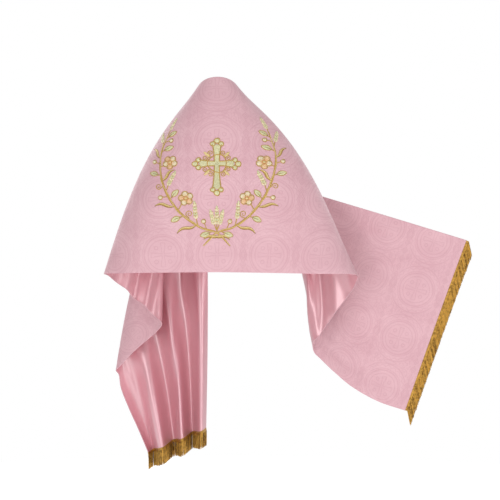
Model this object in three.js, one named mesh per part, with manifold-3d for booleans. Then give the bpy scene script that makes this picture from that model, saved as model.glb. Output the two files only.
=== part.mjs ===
// A humeral veil as it is worn: one long rectangle of damask, lined with satin, laid over the
// shoulders from behind. Its left end falls down the front in a cascade, its right end is folded
// back and drawn out sideways as a wing, and each end carries a bullion fringe.
// Millimetres, +Z up, -Y out of the back panel, +X towards the wing, origin in the neck opening.

import * as THREE from "three";
import { mergeVertices } from "three/addons/utils/BufferGeometryUtils.js";
import Module from "manifold-3d";

// Cut size of the veil and the thickness of its two cloths
const VEIL_LENGTH = 2300;
const VEIL_WIDTH = 560;
const CUT_TOLERANCE = 0.04;
const FACE_WALL = 1.5;
const LINING_WALL = 1.0;

// Room between pieces that touch in the real veil
const GAP = 0.3;

// Bullion fringe on each end: a woven heading and the cords that hang from it. flare is how far the
// cords lean out past the edge, more on the end that is drawn out sideways.
const FRINGE = {
  strands: 84,
  sides: 4,
  length: 46,
  cord: 1.5,
  tip: 1.1,
  heading: 9,
  headingWall: 3.2,
  rooted: 2,
  parting: 0.5,
  flare: { left: 0.05, right: 0.24 },
  stagger: 0.45,
};

// The veil is drawn by straight-cut sections that run across it, from the top edge, round the
// neck, to the hem. Each row gives the section's top point, the point that lies at MID_SHARE of
// the way to the hem, and the hem point. pleat is the depth of the soft pleats in that section.
const MID_SHARE = 0.4;
const PLEATS = 3;
const SECTIONS = [
  { name: "left_end", top: [-40, 150, -1010], mid: [-110, 175, -1040], hem: [-219, 190, -1090], pleat: 42 },
  { name: "left_low_front", top: [-36, 152, -770], mid: [-125, 176, -850], hem: [-246, 192, -1026], pleat: 34 },
  { name: "left_mid_front", top: [-36, 148, -500], mid: [-155, 188, -650], hem: [-277, 188, -956], pleat: 20 },
  { name: "left_high_front", top: [-44, 138, -262], mid: [-192, 196, -520], hem: [-301, 176, -890], pleat: 8 },
  { name: "left_outer_fold_out", top: [-57, 129, -188], mid: [-218, 192, -460], hem: [-307, 172, -850], pleat: 0 },
  { name: "left_outer_fold", top: [-61, 123, -176], mid: [-223, 178, -442], hem: [-314, 155, -836], pleat: 0 },
  { name: "left_outer_fold_in", top: [-62, 117, -169], mid: [-214, 164, -426], hem: [-300, 138, -822], pleat: 0 },
  { name: "left_third_layer", top: [-64, 110, -163], mid: [-184, 150, -400], hem: [-238, 122, -760], pleat: 0 },
  { name: "left_inner_fold_out", top: [-69, 103, -148], mid: [-154, 141, -376], hem: [-184, 113, -712], pleat: 0 },
  { name: "left_inner_fold", top: [-72, 98, -135], mid: [-146, 129, -362], hem: [-171, 101, -693], pleat: 0 },
  { name: "left_inner_fold_in", top: [-75, 90, -118], mid: [-153, 114, -348], hem: [-181, 84, -676], pleat: 0 },
  { name: "left_second_layer", top: [-77, 80, -100], mid: [-168, 104, -326], hem: [-213, 72, -647], pleat: 0 },
  { name: "left_arm_front", top: [-78, 60, -68], mid: [-192, 84, -285], hem: [-270, 40, -592], pleat: 0 },
  { name: "left_arm_side", top: [-75, 38, -42], mid: [-204, 38, -235], hem: [-318, -20, -546], pleat: 0 },
  { name: "left_arm_fold", top: [-69, 10, -20], mid: [-206, -24, -206], hem: [-326, -74, -538], pleat: 0 },
  { name: "left_shoulder", top: [-57, -30, 7], mid: [-162, -98, -199], hem: [-260, -128, -535], pleat: 0 },
  { name: "left_blade", top: [-34, -59, 24], mid: [-85, -131, -193], hem: [-138, -145, -533], pleat: 0 },
  { name: "nape", top: [0, -70, 30], mid: [0, -137, -190], hem: [0, -146, -532], pleat: 0 },
  { name: "right_blade", top: [34, -59, 24], mid: [92, -131, -193], hem: [152, -146, -534], pleat: 0 },
  { name: "right_shoulder", top: [57, -30, 7], mid: [186, -96, -200], hem: [294, -132, -537], pleat: 0 },
  { name: "right_arm_fold", top: [69, 10, -20], mid: [246, -25, -205], hem: [390, -92, -539], pleat: 0 },
  { name: "right_arm_side", top: [78, 50, -50], mid: [234, 50, -232], hem: [408, -44, -548], pleat: 0 },
  { name: "right_arm_front", top: [76, 85, -110], mid: [216, 92, -305], hem: [388, 26, -598], pleat: 0 },
  { name: "right_second_layer", top: [62, 112, -170], mid: [204, 108, -372], hem: [340, 52, -668], pleat: 0 },
  { name: "right_inner_fold_in", top: [49, 129, -208], mid: [207, 114, -412], hem: [295, 56, -728], pleat: 0 },
  { name: "right_inner_fold", top: [46, 137, -222], mid: [209, 128, -430], hem: [284, 75, -746], pleat: 0 },
  { name: "right_inner_fold_out", top: [58, 143, -231], mid: [220, 142, -446], hem: [291, 97, -772], pleat: 0 },
  { name: "right_fold_back", top: [112, 146, -247], mid: [252, 152, -470], hem: [312, 113, -804], pleat: 0 },
  { name: "wing_root", top: [260, 143, -292], mid: [330, 150, -525], hem: [392, 134, -876], pleat: 0 },
  { name: "wing_middle", top: [510, 130, -368], mid: [498, 138, -590], hem: [478, 134, -926], pleat: 0 },
  { name: "right_end", top: [747, 118, -441], mid: [673, 128, -646], hem: [563, 128, -955], pleat: 0 },
];

// Stretches of the veil that show apart from each other, each from one section to another, with
// the steps that its mesh takes across the cloth
const STRETCHES = [
  { name: "left_front", from: "left_end", to: "left_outer_fold", across: 24 },
  { name: "left_fall", from: "left_outer_fold", to: "left_arm_fold", across: 24 },
  { name: "back", from: "left_arm_fold", to: "right_arm_fold", across: 12 },
  { name: "right_turn", from: "right_arm_fold", to: "right_inner_fold", across: 12 },
  { name: "right_wing", from: "right_inner_fold", to: "right_end", across: 12 },
];

// Mesh rows are about this far apart along the veil
const ROW_PITCH = 75;
const FEWEST_ROWS = 2;

const FINISHES = {
  damask: { color: 0xe2aeb6, roughness: 0.6, metalness: 0 },
  satin: { color: 0xdf929e, roughness: 0.4, metalness: 0 },
  gold: { color: 0xc08a1e, roughness: 0.45, metalness: 0.6 },
};

// Knots of the curves that join the sections: square roots of the hem's steps, added up, which
// keeps a curve through uneven steps from overshooting.
function sectionKnots() {
  const knots = [0];
  for (let i = 1; i < SECTIONS.length; i++) {
    const step = new THREE.Vector3(...SECTIONS[i].hem).distanceTo(
      new THREE.Vector3(...SECTIONS[i - 1].hem),
    );
    knots.push(knots[i - 1] + Math.sqrt(step));
  }
  return knots;
}

const KNOTS = sectionKnots();
const sectionIndex = (name) => SECTIONS.findIndex((row) => row.name === name);

// Slope of a list of values at knot i, as a smooth curve through three neighbours has it
function slopeAt(values, i) {
  const last = values.length - 1;
  const before = i > 0 ? (values[i] - values[i - 1]) / (KNOTS[i] - KNOTS[i - 1]) : null;
  const after = i < last ? (values[i + 1] - values[i]) / (KNOTS[i + 1] - KNOTS[i]) : null;
  if (before === null) return after;
  if (after === null) return before;
  const hBefore = KNOTS[i] - KNOTS[i - 1];
  const hAfter = KNOTS[i + 1] - KNOTS[i];
  return (before * hAfter + after * hBefore) / (hBefore + hAfter);
}

// Value of a cubic Hermite curve through the sections, at place s along the knots
function alongSections(values, s) {
  let i = 0;
  while (i < KNOTS.length - 2 && s > KNOTS[i + 1]) i++;
  const h = KNOTS[i + 1] - KNOTS[i];
  const f = (s - KNOTS[i]) / h;
  const m0 = slopeAt(values, i) * h;
  const m1 = slopeAt(values, i + 1) * h;
  const f2 = f * f;
  const f3 = f2 * f;
  return (
    values[i] * (2 * f3 - 3 * f2 + 1) +
    m0 * (f3 - 2 * f2 + f) +
    values[i + 1] * (3 * f2 - 2 * f3) +
    m1 * (f3 - f2)
  );
}

const AXES = [0, 1, 2];
const EDGE_VALUES = Object.fromEntries(
  ["top", "mid", "hem"].map((edge) => [edge, AXES.map((k) => SECTIONS.map((row) => row[edge][k]))]),
);
const PLEAT_VALUES = SECTIONS.map((row) => row.pleat);

// Share of its fullness that a section has at share t of the way to the hem: it swells quickly
// below the top edge and runs out slowly and almost straight towards the hem.
const swell = (t) => t * (1 - t) * (2 - t);

// Point of the cloth at place s along the sections and share t of the way from top edge to hem:
// the straight line between them, swollen so that it passes through the section's mid point, and
// moved in depth by the soft pleats.
function clothPoint(s, t) {
  const fullness = swell(t) / swell(MID_SHARE);
  const point = AXES.map((k) => {
    const top = alongSections(EDGE_VALUES.top[k], s);
    const mid = alongSections(EDGE_VALUES.mid[k], s);
    const hem = alongSections(EDGE_VALUES.hem[k], s);
    const straightMid = top + (hem - top) * MID_SHARE;
    return top + (hem - top) * t + (mid - straightMid) * fullness;
  });
  point[1] += alongSections(PLEAT_VALUES, s) * Math.sin(2 * Math.PI * PLEATS * (1 - t));
  return new THREE.Vector3(...point);
}

// Length of a line drawn on the cloth, from equally spaced shares of the way along it
function lineLength(pointAt) {
  const steps = 600;
  let length = 0;
  let last = pointAt(0);
  for (let i = 1; i <= steps; i++) {
    const next = pointAt(i / steps);
    length += next.distanceTo(last);
    last = next;
  }
  return length;
}

// The draped cloth has to be as long and as wide as the cloth that was cut
function checkCut() {
  const end = KNOTS[KNOTS.length - 1];
  const nape = KNOTS[sectionIndex("nape")];
  const lines = [
    ["top edge", lineLength((f) => clothPoint(f * end, 0)), VEIL_LENGTH],
    ["hem", lineLength((f) => clothPoint(f * end, 1)), VEIL_LENGTH],
    ["left end", lineLength((f) => clothPoint(0, f)), VEIL_WIDTH],
    ["nape", lineLength((f) => clothPoint(nape, f)), VEIL_WIDTH],
    ["right end", lineLength((f) => clothPoint(end, f)), VEIL_WIDTH],
  ];
  for (const [name, length, cut] of lines) {
    if (Math.abs(length / cut - 1) > CUT_TOLERANCE) {
      throw new Error(`the ${name} is ${length.toFixed(0)} mm long and was cut ${cut} mm`);
    }
  }
}

// Directions of the cloth at a point: along the veil, across it towards the hem, and out of its face
function clothFrame(s, t) {
  const step = 1e-3;
  const s0 = Math.max(s - step, KNOTS[0]);
  const s1 = Math.min(s + step, KNOTS[KNOTS.length - 1]);
  const t0 = Math.max(t - step, 0);
  const t1 = Math.min(t + step, 1);
  const along = clothPoint(s1, t).sub(clothPoint(s0, t)).normalize();
  const across = clothPoint(s, t1).sub(clothPoint(s, t0)).normalize();
  const out = across.clone().cross(along).normalize();
  const square = out.clone().cross(across).normalize();
  return { along, across, out, square };
}

// Closed wall between two grids of points that face each other; rows and columns run the same way.
// grid(i, j, side) gives a point, side 1 on the outer face and 0 on the inner one.
function wallGeometry(rows, columns, grid) {
  const positions = [];
  const index = [];
  const id = (i, j, side) => (side * (rows + 1) + i) * (columns + 1) + j;
  for (const side of [0, 1]) {
    for (let i = 0; i <= rows; i++) {
      for (let j = 0; j <= columns; j++) positions.push(...grid(i, j, side).toArray());
    }
  }
  const quad = (a, b, c, d) => index.push(a, b, c, a, c, d);
  for (let i = 0; i < rows; i++) {
    for (let j = 0; j < columns; j++) {
      quad(id(i, j, 1), id(i, j + 1, 1), id(i + 1, j + 1, 1), id(i + 1, j, 1));
      quad(id(i, j, 0), id(i + 1, j, 0), id(i + 1, j + 1, 0), id(i, j + 1, 0));
    }
    quad(id(i, 0, 0), id(i, 0, 1), id(i + 1, 0, 1), id(i + 1, 0, 0));
    quad(id(i, columns, 1), id(i, columns, 0), id(i + 1, columns, 0), id(i + 1, columns, 1));
  }
  for (let j = 0; j < columns; j++) {
    quad(id(0, j, 1), id(0, j, 0), id(0, j + 1, 0), id(0, j + 1, 1));
    quad(id(rows, j, 0), id(rows, j, 1), id(rows, j + 1, 1), id(rows, j + 1, 0));
  }
  const geometry = new THREE.BufferGeometry();
  geometry.setAttribute("position", new THREE.Float32BufferAttribute(positions, 3));
  geometry.setIndex(index);
  geometry.computeVertexNormals();
  return geometry;
}

// Distance between two neighbouring sections where they are furthest apart
function sectionSpacing(i) {
  const distance = (edge) =>
    new THREE.Vector3(...SECTIONS[i][edge]).distanceTo(new THREE.Vector3(...SECTIONS[i + 1][edge]));
  return Math.max(distance("top"), distance("hem"));
}

// Places along the knots where a stretch has its mesh rows
function stretchStations(stretch) {
  const first = sectionIndex(stretch.from);
  const last = sectionIndex(stretch.to);
  const stations = [];
  for (let i = first; i < last; i++) {
    const rows = Math.max(FEWEST_ROWS, Math.round(sectionSpacing(i) / ROW_PITCH));
    for (let k = 0; k < rows; k++) stations.push(THREE.MathUtils.lerp(KNOTS[i], KNOTS[i + 1], k / rows));
  }
  stations.push(KNOTS[last]);
  return stations;
}

// One cloth of one stretch, between two heights over the veil's middle surface. Where it meets the
// next stretch, its edge is drawn back by half the seam's room.
function clothWall(stretch, low, high) {
  const stations = stretchStations(stretch);
  const rows = stations.length - 1;
  const drawBack = (i) => {
    const s = stations[i];
    if (i === 0 && s > KNOTS[0]) return GAP / 2;
    if (i === rows && s < KNOTS[KNOTS.length - 1]) return -GAP / 2;
    return 0;
  };
  return wallGeometry(rows, stretch.across, (i, j, side) => {
    const t = j / stretch.across;
    const frame = clothFrame(stations[i], t);
    return clothPoint(stations[i], t)
      .addScaledVector(frame.out, side ? high : low)
      .addScaledVector(frame.square, drawBack(i));
  });
}

// The end of the veil as a line of points, each with the way out of its face and on past its edge
function endLine(s, steps) {
  const way = s > KNOTS[0] ? 1 : -1;
  return Array.from({ length: steps + 1 }, (_, j) => {
    const frame = clothFrame(s, j / steps);
    const on = frame.square.clone().multiplyScalar(way);
    return { point: clothPoint(s, j / steps), out: frame.out, on };
  });
}

// Places at even steps along such a line, leaving out its two ends
function evenPlaces(line, count) {
  const lengths = [0];
  for (let j = 1; j < line.length; j++) {
    lengths.push(lengths[j - 1] + line[j].point.distanceTo(line[j - 1].point));
  }
  const places = [];
  let j = 0;
  for (let k = 1; k <= count; k++) {
    const wanted = (lengths[line.length - 1] * k) / (count + 1);
    while (lengths[j + 1] < wanted) j++;
    const f = (wanted - lengths[j]) / (lengths[j + 1] - lengths[j]);
    const between = (key) => line[j][key].clone().lerp(line[j + 1][key], f);
    places.push({ point: between("point"), out: between("out").normalize(), on: between("on").normalize() });
  }
  return places;
}

const wasm = await Module();
wasm.setup();

// Corners of a solid that lie closer than this are one corner
const WELD = 1e-3;

function toSolid(geometry) {
  const bare = geometry.clone();
  bare.deleteAttribute("normal");
  bare.deleteAttribute("uv");
  const merged = mergeVertices(bare, WELD);
  return new wasm.Manifold(
    new wasm.Mesh({
      numProp: 3,
      vertProperties: merged.attributes.position.array,
      triVerts: new Uint32Array(merged.index.array),
    }),
  );
}

function fromSolid(solid) {
  const mesh = solid.getMesh();
  const geometry = new THREE.BufferGeometry();
  geometry.setAttribute("position", new THREE.Float32BufferAttribute(mesh.vertProperties, 3));
  geometry.setIndex(Array.from(mesh.triVerts));
  geometry.computeVertexNormals();
  return geometry;
}

// One cord of the fringe, a square rod from its root along its way down, a little slimmer at its tip
function strandGeometry(root, way, length) {
  const rod = new THREE.CylinderGeometry(
    FRINGE.cord / Math.SQRT2,
    FRINGE.tip / Math.SQRT2,
    length,
    FRINGE.sides,
  );
  rod.translate(0, -length / 2, 0);
  const turn = new THREE.Quaternion().setFromUnitVectors(new THREE.Vector3(0, -1, 0), way);
  rod.applyQuaternion(turn);
  rod.translate(...root.toArray());
  return rod;
}

// The fringe on one end: a woven heading just past the cloth's edge, with cords rooted in it
function fringeGeometry(s, steps, flare) {
  const middle = (FACE_WALL - LINING_WALL) / 2;
  const line = endLine(s, steps);
  const nearColumn = s > KNOTS[0] ? 0 : 1;
  const heading = wallGeometry(steps, 1, (i, j, side) => {
    const { point, out, on } = line[i];
    const reach = FRINGE.parting + (j === nearColumn ? 0 : FRINGE.heading);
    const lift = middle + (side ? -0.5 : 0.5) * FRINGE.headingWall;
    return point.clone().addScaledVector(on, reach).addScaledVector(out, lift);
  });
  let fringe = toSolid(heading);
  evenPlaces(line, FRINGE.strands).forEach(({ point, out, on }, k) => {
    const side = k % 2 ? FRINGE.stagger : -FRINGE.stagger;
    const root = point
      .clone()
      .addScaledVector(on, FRINGE.parting + FRINGE.heading - FRINGE.rooted)
      .addScaledVector(out, middle + side);
    const hang = new THREE.Vector3(0, 0, -1).addScaledVector(on, flare).normalize();
    fringe = fringe.add(toSolid(strandGeometry(root, hang, FRINGE.length)));
  });
  return fromSolid(fringe);
}

function addPiece(group, name, geometry, finish) {
  const mesh = new THREE.Mesh(geometry, new THREE.MeshStandardMaterial(FINISHES[finish]));
  mesh.name = name;
  group.add(mesh);
}

checkCut();
const veil = new THREE.Group();

for (const stretch of STRETCHES) {
  addPiece(veil, `face_${stretch.name}`, clothWall(stretch, GAP / 2, GAP / 2 + FACE_WALL), "damask");
  addPiece(veil, `lining_${stretch.name}`, clothWall(stretch, -GAP / 2 - LINING_WALL, -GAP / 2), "satin");
}
const leftmost = STRETCHES[0];
const rightmost = STRETCHES[STRETCHES.length - 1];
const fringes = {
  left: fringeGeometry(KNOTS[0], leftmost.across, FRINGE.flare.left),
  right: fringeGeometry(KNOTS[KNOTS.length - 1], rightmost.across, FRINGE.flare.right),
};
for (const side of Object.keys(fringes)) addPiece(veil, `fringe_${side}`, fringes[side], "gold");

export default veil;
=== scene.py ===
"""A humeral veil as it is worn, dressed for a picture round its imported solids.

The damask face and the satin lining are thin shells on one draped surface. Bullion fringes hang
from both ends, and the back carries a raised embroidery. Metres, +Z up, -Y out of the back panel.
"""

import math

import bpy
import numpy as np
from bpy.props import FloatProperty, FloatVectorProperty, IntProperty, PointerProperty
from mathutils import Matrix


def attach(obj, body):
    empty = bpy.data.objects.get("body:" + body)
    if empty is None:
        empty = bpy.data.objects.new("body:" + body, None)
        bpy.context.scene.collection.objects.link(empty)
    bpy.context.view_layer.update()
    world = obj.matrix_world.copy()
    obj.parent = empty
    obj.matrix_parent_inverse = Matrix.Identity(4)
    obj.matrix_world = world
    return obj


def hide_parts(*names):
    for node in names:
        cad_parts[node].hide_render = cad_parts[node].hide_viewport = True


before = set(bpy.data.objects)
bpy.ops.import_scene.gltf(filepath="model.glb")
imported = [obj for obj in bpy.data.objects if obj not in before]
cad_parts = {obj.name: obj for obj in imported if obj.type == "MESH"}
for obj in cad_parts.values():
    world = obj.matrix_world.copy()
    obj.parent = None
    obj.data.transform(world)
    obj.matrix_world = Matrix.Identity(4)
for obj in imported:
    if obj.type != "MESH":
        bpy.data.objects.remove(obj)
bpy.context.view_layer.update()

bl_info = {
    "name": "Humeral Veil",
    "version": (1, 0, 0),
    "blender": (4, 5, 0),
    "location": "View3D > Sidebar > Veil",
    "description": "Builds a lined damask humeral veil in its worn shape, with fringe and embroidery",
    "category": "Add Mesh",
}

MM = 0.001

# The drape's straight-cut sections: top edge, the point at MID_SHARE of the way down, hem, and the
# depth of the soft pleats, in millimetres, from the left end round the neck to the right end
MID_SHARE = 0.4
PLEATS = 3
SECTIONS = (
    ("left_end", (-40, 150, -1010), (-110, 175, -1040), (-219, 190, -1090), 42),
    ("left_low_front", (-36, 152, -770), (-125, 176, -850), (-246, 192, -1026), 34),
    ("left_mid_front", (-36, 148, -500), (-155, 188, -650), (-277, 188, -956), 20),
    ("left_high_front", (-44, 138, -262), (-192, 196, -520), (-301, 176, -890), 8),
    ("left_outer_fold_out", (-57, 129, -188), (-218, 192, -460), (-307, 172, -850), 0),
    ("left_outer_fold", (-61, 123, -176), (-223, 178, -442), (-314, 155, -836), 0),
    ("left_outer_fold_in", (-62, 117, -169), (-214, 164, -426), (-300, 138, -822), 0),
    ("left_third_layer", (-64, 110, -163), (-184, 150, -400), (-238, 122, -760), 0),
    ("left_inner_fold_out", (-69, 103, -148), (-154, 141, -376), (-184, 113, -712), 0),
    ("left_inner_fold", (-72, 98, -135), (-146, 129, -362), (-171, 101, -693), 0),
    ("left_inner_fold_in", (-75, 90, -118), (-153, 114, -348), (-181, 84, -676), 0),
    ("left_second_layer", (-77, 80, -100), (-168, 104, -326), (-213, 72, -647), 0),
    ("left_arm_front", (-78, 60, -68), (-192, 84, -285), (-270, 40, -592), 0),
    ("left_arm_side", (-75, 38, -42), (-204, 38, -235), (-318, -20, -546), 0),
    ("left_arm_fold", (-69, 10, -20), (-206, -24, -206), (-326, -74, -538), 0),
    ("left_shoulder", (-57, -30, 7), (-162, -98, -199), (-260, -128, -535), 0),
    ("left_blade", (-34, -59, 24), (-85, -131, -193), (-138, -145, -533), 0),
    ("nape", (0, -70, 30), (0, -137, -190), (0, -146, -532), 0),
    ("right_blade", (34, -59, 24), (92, -131, -193), (152, -146, -534), 0),
    ("right_shoulder", (57, -30, 7), (186, -96, -200), (294, -132, -537), 0),
    ("right_arm_fold", (69, 10, -20), (246, -25, -205), (390, -92, -539), 0),
    ("right_arm_side", (78, 50, -50), (234, 50, -232), (408, -44, -548), 0),
    ("right_arm_front", (76, 85, -110), (216, 92, -305), (388, 26, -598), 0),
    ("right_second_layer", (62, 112, -170), (204, 108, -372), (340, 52, -668), 0),
    ("right_inner_fold_in", (49, 129, -208), (207, 114, -412), (295, 56, -728), 0),
    ("right_inner_fold", (46, 137, -222), (209, 128, -430), (284, 75, -746), 0),
    ("right_inner_fold_out", (58, 143, -231), (220, 142, -446), (291, 97, -772), 0),
    ("right_fold_back", (112, 146, -247), (252, 152, -470), (312, 113, -804), 0),
    ("wing_root", (260, 143, -292), (330, 150, -525), (392, 134, -876), 0),
    ("wing_middle", (510, 130, -368), (498, 138, -590), (478, 134, -926), 0),
    ("right_end", (747, 118, -441), (673, 128, -646), (563, 128, -955), 0),
)
NAPE = [row[0] for row in SECTIONS].index("nape")

# Soft creases, placed on the flat cloth in millimetres: where each starts and ends, its
# height out of the face (less than nothing is a trough), its half width at its far end, and
# whether it runs out there
CREASES = (
    (-262, 204, -442, 560, 3, 20, 0),
    (-306, 204, -486, 560, -7, 20, 0),
    (-349, 204, -529, 560, 8, 17, 0),
    (-388, 204, -568, 560, -9, 17, 0),
    (-428, 204, -608, 560, 8, 17, 0),
    (-780, 496, -1130, 513, -6, 24, 0),
    (-350, 120, -790, 560, 4, 30, 0),
    (-210, 20, -350, 420, 3, 34, 1),
    (-60, 30, -230, 500, -3, 42, 1),
    (-20, 60, -60, 520, 1.6, 46, 1),
    (40, 40, 120, 540, -2, 44, 1),
    (90, 20, 300, 480, 3, 46, 1),
    (150, 60, 400, 540, -3, 30, 0),
    (420, 440, 548, 560, 4, 20, 0),
    (350, 333, 631, 560, -7, 20, 0),
    (410, 311, 718, 560, 8, 19, 0),
    (440, 264, 806, 560, -7, 20, 0),
    (430, 60, 800, 420, -5, 46, 1),
    (470, 20, 980, 300, 4, 50, 1),
    (440, 140, 900, 560, 5, 44, 0),
    (620, 40, 1060, 90, -2.5, 30, 1),
    (700, 520, 1090, 470, -3, 36, 1),
    (-420, 40, -860, 520, -5, 30, 1),
    (-460, 60, -1150, 300, 5, 34, 0),
    (-420, 240, -1150, 470, -5, 32, 0),
)

# Steps in which the drape is measured, halvings in the search for a place on it, and the extra
# mesh columns and rows beside its edges, as shares of the way across and of the first step along
FINE_STEPS = 4000
HALVINGS = 36
EDGE_COLUMN = 0.0022
END_ROW = 0.2


def unit(ways):
    """Directions brought to a length of 1."""
    return ways / np.maximum(np.linalg.norm(ways, axis=-1, keepdims=True), 1e-12)


def lengths(points):
    """Length of a line from its start to each of its points."""
    return np.concatenate([[0], np.cumsum(np.linalg.norm(np.diff(points, axis=0), axis=1))])


def smooth(x):
    """Smooth step: 0 below 0, 1 above 1, and 3x^2 - 2x^3 between."""
    x = np.clip(x, 0.0, 1.0)
    return x * x * (3 - 2 * x)


def swell(t):
    """Share of its fullness that a section has at share t of the way down: t (1 - t) (2 - t)."""
    return t * (1 - t) * (2 - t)


def crease_height(u, v):
    """Height of the creases over the smooth cloth. Each is a bell curve across its line, whose
    width opens from a third to the whole along it, faded in at the start and out at the end."""
    height = np.zeros_like(u)
    for u0, v0, u1, v1, depth, width, runs_out in CREASES:
        start = np.array([u0, v0]) * MM
        way = np.array([u1, v1]) * MM - start
        along = ((u - start[0]) * way[0] + (v - start[1]) * way[1]) / (way @ way)
        f = np.clip(along, 0, 1)
        off = np.hypot(u - start[0] - f * way[0], v - start[1] - f * way[1])
        spread = width * MM * (0.34 + 0.66 * f)
        fade = smooth(along / 0.45) * (1 - runs_out * smooth((along - 0.55) / 0.45))
        height += depth * MM * fade * np.exp(-((off / spread) ** 2))
    return height


class Drape:
    """The draped cloth as a surface of s, along the sections, and t, from top edge to hem."""

    def __init__(self, length, width):
        table = np.array([[*top, *mid, *hem, pleat] for _, top, mid, hem, pleat in SECTIONS], float)
        steps = np.linalg.norm(np.diff(table[:, 6:9], axis=0), axis=1)
        self.knots = np.concatenate([[0], np.cumsum(np.sqrt(steps))])
        self.values = table * MM
        gaps = np.diff(self.knots)[:, None]
        rise = np.diff(self.values, axis=0) / gaps
        self.slopes = np.vstack(
            [rise[:1], (rise[:-1] * gaps[1:] + rise[1:] * gaps[:-1]) / (gaps[:-1] + gaps[1:]), rise[-1:]]
        )
        self.width = width
        self.fine = np.linspace(0, self.knots[-1], FINE_STEPS + 1)
        self.edges = [self._flat_edge(t, length / 2) for t in (0.0, 1.0)]

    def _flat_edge(self, t, half):
        """Places on the flat cloth along one edge: its arc length from the nape, scaled to the cut."""
        points = self.base(self.fine, np.full_like(self.fine, t))
        arc = lengths(points)
        arc -= np.interp(self.knots[NAPE], self.fine, arc)
        return np.where(arc < 0, arc * half / -arc[0], arc * half / arc[-1])

    def sections(self, s):
        """Section values at s, by cubic Hermite curves through the table's rows."""
        i = np.clip(np.searchsorted(self.knots, s, side="left") - 1, 0, len(self.knots) - 2)
        h = (self.knots[i + 1] - self.knots[i])[..., None]
        f = (s - self.knots[i])[..., None] / h
        return (
            self.values[i] * (2 * f**3 - 3 * f**2 + 1)
            + self.slopes[i] * h * (f**3 - 2 * f**2 + f)
            + self.values[i + 1] * (3 * f**2 - 2 * f**3)
            + self.slopes[i + 1] * h * (f**3 - f**2)
        )

    def base(self, s, t):
        """Smooth cloth: the straight line from top to hem, swollen through the mid point, with
        the pleats' sine wave added in depth."""
        rows = self.sections(s)
        top, mid, hem, pleat = rows[..., 0:3], rows[..., 3:6], rows[..., 6:9], rows[..., 9]
        share = t[..., None]
        straight = top + (hem - top) * MID_SHARE
        points = top + (hem - top) * share + (mid - straight) * swell(share) / swell(MID_SHARE)
        points[..., 1] += pleat * np.sin(2 * np.pi * PLEATS * (1 - t))
        return points

    def ways(self, s, t):
        """Unit directions at a place: square to the section along the veil, across, and out."""
        step = 1e-3
        s0, s1 = np.maximum(s - step, 0), np.minimum(s + step, self.knots[-1])
        t0, t1 = np.maximum(t - step, 0), np.minimum(t + step, 1)
        along = self.base(s1, t) - self.base(s0, t)
        across = unit(self.base(s, t1) - self.base(s, t0))
        out = unit(np.cross(across, along))
        return np.cross(out, across), across, out

    def flat(self, s, t):
        """Place on the flat cloth: u along the veil from the nape, v down from the top edge."""
        top, hem = (np.interp(s, self.fine, edge) for edge in self.edges)
        return top * (1 - t) + hem * t, t * self.width

    def find(self, u, v):
        """The s and t of places on the flat cloth, with s found by halving."""
        t = np.clip(v / self.width, 0, 1)
        low, high = np.zeros_like(u), np.full_like(u, self.knots[-1])
        for _ in range(HALVINGS):
            middle = (low + high) / 2
            left = self.flat(middle, t)[0] < u
            low, high = np.where(left, middle, low), np.where(left, high, middle)
        return (low + high) / 2, t

    def stations(self, count):
        """Values of s whose steps, on the edge or middle line where they are longest, are equal."""
        lines = [self.base(self.fine, np.full_like(self.fine, t)) for t in (0.0, MID_SHARE, 1.0)]
        step = np.max([np.linalg.norm(np.diff(p, axis=0), axis=1) for p in lines], axis=0)
        run = np.concatenate([[0], np.cumsum(step)])
        return np.interp(np.linspace(0, run[-1], count), run, self.fine)

    def on_flat(self, u, v, lift):
        """Points over places on the flat cloth, lifted out of the face."""
        s, t = self.find(u, v)
        out = self.ways(s, t)[2]
        return self.base(s, t) + out * (crease_height(u, v) + lift)[..., None]


class Term:
    """A number in a material. Python's operators on it add Math nodes."""

    def __init__(self, nodes, socket):
        self.nodes = nodes
        self.socket = socket

    def math(self, operation, *others, clamp=False):
        settings = {"operation": operation, "use_clamp": clamp}
        return self.nodes.add("ShaderNodeMath", settings, dict(enumerate((self, *others))))

    def __add__(self, other):
        return self.math("ADD", other)

    __radd__ = __add__

    def __sub__(self, other):
        return self.math("SUBTRACT", other)

    def __rsub__(self, other):
        return (self * -1) + other

    def __mul__(self, other):
        return self.math("MULTIPLY", other)

    def __truediv__(self, other):
        return self.math("DIVIDE", other)

    def __abs__(self):
        return self.math("ABSOLUTE")

    def least(self, other):
        return self.math("MINIMUM", other)

    def most(self, other):
        return self.math("MAXIMUM", other)


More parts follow.
